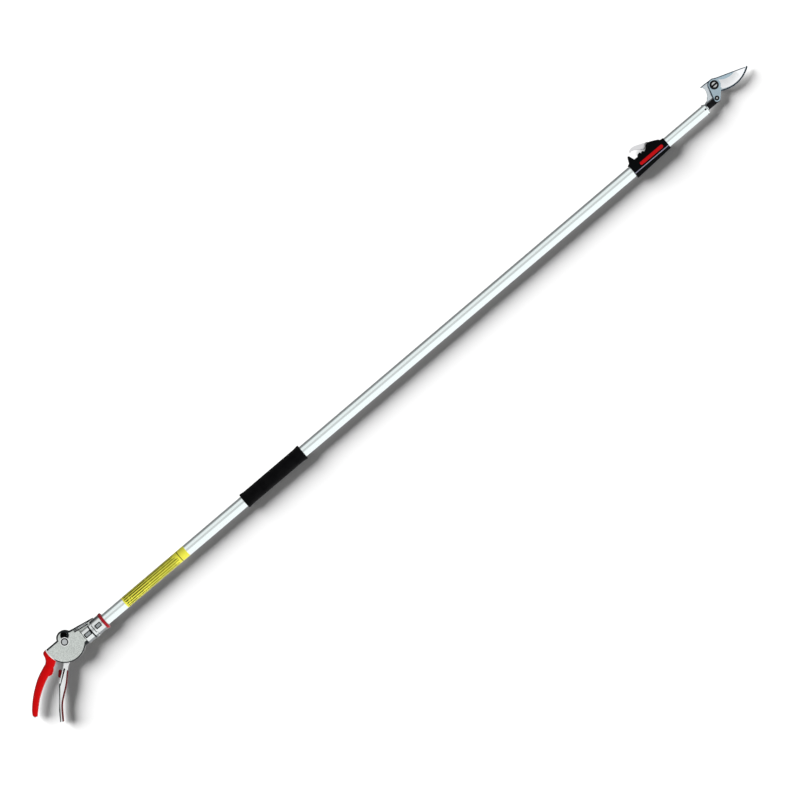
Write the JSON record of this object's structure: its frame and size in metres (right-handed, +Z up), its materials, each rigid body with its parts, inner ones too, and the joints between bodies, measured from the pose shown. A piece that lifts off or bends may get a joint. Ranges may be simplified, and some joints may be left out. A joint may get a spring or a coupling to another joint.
{
  "type": "telescopic tree pruner pole",
  "caption": "Telescopic pole pruner: a trigger handle pulls rods inside the tubes to close a bypass blade on a hooked counter blade; a flip clamp sets the length.",
  "frame": {"origin": "on the floor under the middle of the tool's box in plan, the tool lying on its side", "axes": "+X along the pole from the handle to the cutting head, +Z up from the floor, +Y to the side of the clamp's lever and the head's horn"},
  "size_m": [2.0028, 0.1476, 0.037],
  "materials": {
    "tube_aluminium": "satin anodised tube",
    "cast_alloy": "sand textured die casting",
    "trigger_alloy": "bright drawn alloy",
    "grip_plastic": "red dipped vinyl, soft gloss",
    "dark_red_rubber": "dark red moulded rubber",
    "core_steel": "grey steel",
    "zinc_steel": "bright zinc plate",
    "black_steel": "black oxide",
    "spring_steel": "drawn spring wire",
    "bronze": "sintered bronze",
    "guide_plastic": "natural acetal",
    "collar_chrome": "bright nickel plate",
    "ring_plastic": "dark red plastic",
    "label_film": "printed yellow film",
    "sleeve_foam": "black closed cell foam",
    "clamp_plastic": "black moulded nylon",
    "inlay_plastic": "red moulded plastic",
    "lever_plastic": "white moulded plastic",
    "pad_rubber": "brown brake rubber",
    "plug_alloy": "grey die casting",
    "plate_steel": "satin chromed steel",
    "blade_steel": "hard chromed, hollow ground"
  },
  "bodies": {
    "pole": {"outer_tube": "tube_aluminium", "housing_near": "cast_alloy", "housing_far": "cast_alloy", "housing_screws": "black_steel", "grip_core": "core_steel", "grip_cover": "grip_plastic", "grip_bumper": "dark_red_rubber", "trigger_bolt": "zinc_steel", "trigger_nut": "black_steel", "return_spring": "spring_steel", "guide_bush": "guide_plastic", "socket_collar": "collar_chrome", "label_band": "label_film", "foam_sleeve": "sleeve_foam", "clamp_body": "clamp_plastic", "clamp_inlay": "inlay_plastic", "lever_pin": "zinc_steel", "brake_pad": "pad_rubber"},
    "trigger": {"trigger": "trigger_alloy", "trigger_bush": "bronze", "finger_pad": "dark_red_rubber", "trigger_bumper": "dark_red_rubber"},
    "lower_rod": {"rod_eye": "black_steel", "yoke_pin": "zinc_steel", "lower_rod": "tube_aluminium", "rod_lock": "bronze"},
    "inner_pole": {"inner_tube": "tube_aluminium", "slider_bush": "guide_plastic", "head_plug": "plug_alloy", "head_rivets": "black_steel", "counter_blade": "plate_steel", "plate_rivets": "plate_steel", "blade_bolt": "black_steel", "blade_washer": "zinc_steel", "blade_nut": "black_steel"},
    "upper_rod": {"upper_rod": "tube_aluminium", "rod_end": "black_steel"},
    "blade": {"blade": "blade_steel", "tail_pin": "black_steel"},
    "clamp_lever": {"clamp_lever": "lever_plastic"},
    "lock_collar": {"lock_collar": "collar_chrome", "red_ring": "ring_plastic"}
  },
  "joints": [
    {"name": "trigger_pivot", "type": "hinge", "parent": "pole", "child": "trigger", "pos_m": [-0.84996, 0.05085, 0.0185], "axis": [0, 0, 1], "range_deg": [-4, 24], "stiffness_Nm_per_rad": 0.6, "deforming": ["return_spring"]},
    {"name": "lower_rod_slide", "type": "slide", "parent": "pole", "child": "lower_rod", "axis": [1, 0, 0], "range_m": [-0.00159, 0.00854]},
    {"name": "pole_extension", "type": "slide", "parent": "pole", "child": "inner_pole", "axis": [1, 0, 0], "range_m": [0, 1]},
    {"name": "upper_rod_slide", "type": "slide", "parent": "inner_pole", "child": "upper_rod", "axis": [1, 0, 0], "range_m": [-0.00159, 0.00854]},
    {"name": "blade_pivot", "type": "hinge", "parent": "inner_pole", "child": "blade", "pos_m": [0.92364, 0.05915, 0.0185], "axis": [0, 0, 1], "range_deg": [-3.22, 18.3]},
    {"name": "clamp_lever_pivot", "type": "hinge", "parent": "pole", "child": "clamp_lever", "pos_m": [0.73804, 0.05275, 0.0185], "axis": [0, 0, -1], "range_deg": [0, 90]},
    {"name": "lock_collar_slide", "type": "slide", "parent": "pole", "child": "lock_collar", "axis": [1, 0, 0], "range_m": [0, 0.006]}
  ],
  "couplings": [
    {"joint": "lower_rod_slide", "follows": "trigger_pivot", "m_per_rad": 0.0199},
    {"joint": "upper_rod_slide", "follows": "trigger_pivot", "m_per_rad": 0.0199},
    {"joint": "blade_pivot", "follows": "trigger_pivot", "ratio": 0.754}
  ]
}
